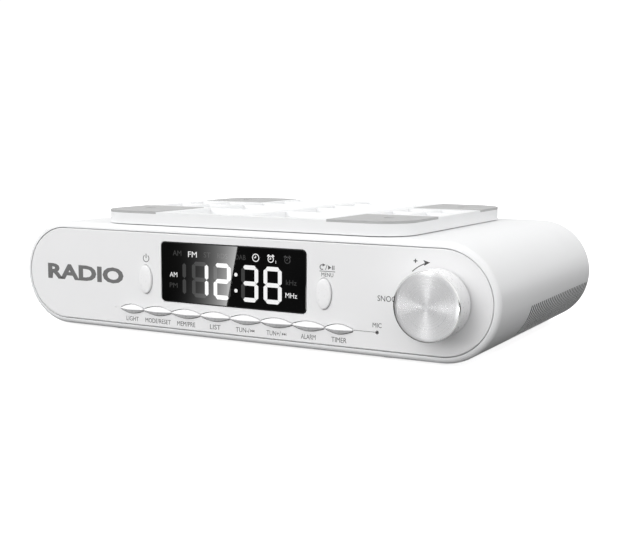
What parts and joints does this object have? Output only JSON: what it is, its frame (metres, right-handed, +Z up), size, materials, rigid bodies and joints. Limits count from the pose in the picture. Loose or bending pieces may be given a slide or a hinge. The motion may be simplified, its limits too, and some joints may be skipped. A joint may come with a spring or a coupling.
{
  "type": "tabletop clock radio",
  "caption": "White stadium-shaped kitchen clock radio with display window, metal-faced knob, key row, side speaker grilles and a slide-off ceiling mounting plate.",
  "frame": {"origin": "under the middle of the bounding box, on the plane of the four feet", "axes": "+X to the right seen from the front, the side of the knob; +Y to the rear; +Z up"},
  "size_m": [0.289, 0.1806, 0.0677],
  "materials": {
    "housing_white": "fine satin texture",
    "panel_white": "smooth satin",
    "window_black": "polished acrylic",
    "lcd_grey": "polished",
    "diffuser_white": "matte",
    "frosted_lens": "frosted",
    "spun_aluminium": "spun face, polished chamfer",
    "steel": "zinc plated",
    "black_plastic": "moulded",
    "cone_paper": "paper",
    "circuit_board": "solder mask",
    "power_circuit_board": "paper laminate",
    "transformer_core": "varnished",
    "ferrite": "sintered",
    "copper_winding": "enamelled wire",
    "cable_grey": "flexible sleeve",
    "lead_red": "flexible sleeve",
    "terminal_green": "moulded",
    "capacitor_sleeve": "shrink sleeve",
    "board_white": "solder mask",
    "cell_wrap": "printed sleeve",
    "pad_rubber": "soft matte",
    "gland_plastic": "moulded"
  },
  "bodies": {
    "root": {"housing": "housing_white", "screw_pillars": "housing_white", "front_panel": "panel_white", "rear_panel": "housing_white", "bottom_cover": "housing_white", "display_window": "window_black", "lcd_glass": "lcd_grey", "lcd_backlight": "diffuser_white", "control_board": "circuit_board", "tact_switches": "black_plastic", "encoder_body": "steel", "mic_capsule": "steel", "main_board": "circuit_board", "board_chips": "black_plastic", "board_capacitors": "capacitor_sleeve", "tuner_can": "steel", "power_board": "power_circuit_board", "transformer": "transformer_core", "ribbon_cable": "cable_grey", "mains_terminal": "terminal_green", "speaker_leads": "lead_red", "ferrite_rod": "ferrite", "antenna_coil": "copper_winding", "ferrite_clips": "housing_white", "light_board": "board_white", "light_lens": "frosted_lens", "speaker_basket_left": "black_plastic", "speaker_basket_right": "black_plastic", "speaker_cone_left": "cone_paper", "speaker_cone_right": "cone_paper", "speaker_magnet_left": "steel", "speaker_magnet_right": "steel", "speaker_baffle_left": "housing_white", "speaker_baffle_right": "housing_white", "grille_inserts": "black_plastic", "feet": "pad_rubber", "backup_cells": "cell_wrap", "battery_contacts": "steel", "aux_jack": "black_plastic", "cord_gland": "gland_plastic", "antenna_gland": "gland_plastic", "case_screws": "steel", "board_screws": "steel"},
    "knob_plunger": {"encoder_plunger": "black_plastic"},
    "knob": {"encoder_shaft": "steel", "knob_body": "housing_white", "knob_cap": "spun_aluminium"},
    "battery_door_body": {"battery_door": "housing_white"},
    "mount": {"mount_plate": "housing_white", "mount_pads": "pad_rubber"},
    "power_button_body": {"power_button": "housing_white"},
    "select_button_body": {"select_button": "housing_white"},
    "key_light_body": {"key_light": "housing_white"},
    "key_mode_body": {"key_mode": "housing_white"},
    "key_preset_body": {"key_preset": "housing_white"},
    "key_list_body": {"key_list": "housing_white"},
    "key_tune_down_body": {"key_tune_down": "housing_white"},
    "key_tune_up_body": {"key_tune_up": "housing_white"},
    "key_alarm_body": {"key_alarm": "housing_white"},
    "key_timer_body": {"key_timer": "housing_white"}
  },
  "joints": [
    {"name": "knob_press", "type": "slide", "parent": "root", "child": "knob_plunger", "axis": [0, 1, 0], "range_m": [0, 0.0008], "stiffness_N_per_m": 1500, "springref_m": -0.0006},
    {"name": "knob_turn", "type": "hinge", "parent": "knob_plunger", "child": "knob", "pos_m": [0.11375, -0.0757, 0.03075], "axis": [0, 1, 0], "continuous": true},
    {"name": "power_press", "type": "slide", "parent": "root", "child": "power_button_body", "axis": [0, 1, 0], "range_m": [0, 0.0008], "stiffness_N_per_m": 800, "springref_m": -0.0006},
    {"name": "select_press", "type": "slide", "parent": "root", "child": "select_button_body", "axis": [0, 1, 0], "range_m": [0, 0.0008], "stiffness_N_per_m": 800, "springref_m": -0.0006},
    {"name": "key_light_press", "type": "slide", "parent": "root", "child": "key_light_body", "axis": [0, 1, 0], "range_m": [0, 0.0008], "stiffness_N_per_m": 800, "springref_m": -0.0006},
    {"name": "key_mode_press", "type": "slide", "parent": "root", "child": "key_mode_body", "axis": [0, 1, 0], "range_m": [0, 0.0008], "stiffness_N_per_m": 800, "springref_m": -0.0006},
    {"name": "key_preset_press", "type": "slide", "parent": "root", "child": "key_preset_body", "axis": [0, 1, 0], "range_m": [0, 0.0008], "stiffness_N_per_m": 800, "springref_m": -0.0006},
    {"name": "key_list_press", "type": "slide", "parent": "root", "child": "key_list_body", "axis": [0, 1, 0], "range_m": [0, 0.0008], "stiffness_N_per_m": 800, "springref_m": -0.0006},
    {"name": "key_tune_down_press", "type": "slide", "parent": "root", "child": "key_tune_down_body", "axis": [0, 1, 0], "range_m": [0, 0.0008], "stiffness_N_per_m": 800, "springref_m": -0.0006},
    {"name": "key_tune_up_press", "type": "slide", "parent": "root", "child": "key_tune_up_body", "axis": [0, 1, 0], "range_m": [0, 0.0008], "stiffness_N_per_m": 800, "springref_m": -0.0006},
    {"name": "key_alarm_press", "type": "slide", "parent": "root", "child": "key_alarm_body", "axis": [0, 1, 0], "range_m": [0, 0.0008], "stiffness_N_per_m": 800, "springref_m": -0.0006},
    {"name": "key_timer_press", "type": "slide", "parent": "root", "child": "key_timer_body", "axis": [0, 1, 0], "range_m": [0, 0.0008], "stiffness_N_per_m": 800, "springref_m": -0.0006},
    {"name": "battery_door_swing", "type": "hinge", "parent": "root", "child": "battery_door_body", "pos_m": [-0.053, -0.0167, 0.0025], "axis": [1, 0, 0], "range_deg": [0, 75]},
    {"name": "plate_slide", "type": "slide", "parent": "root", "child": "mount", "axis": [0, 1, 0], "range_m": [0, 0.012]}
  ]
}
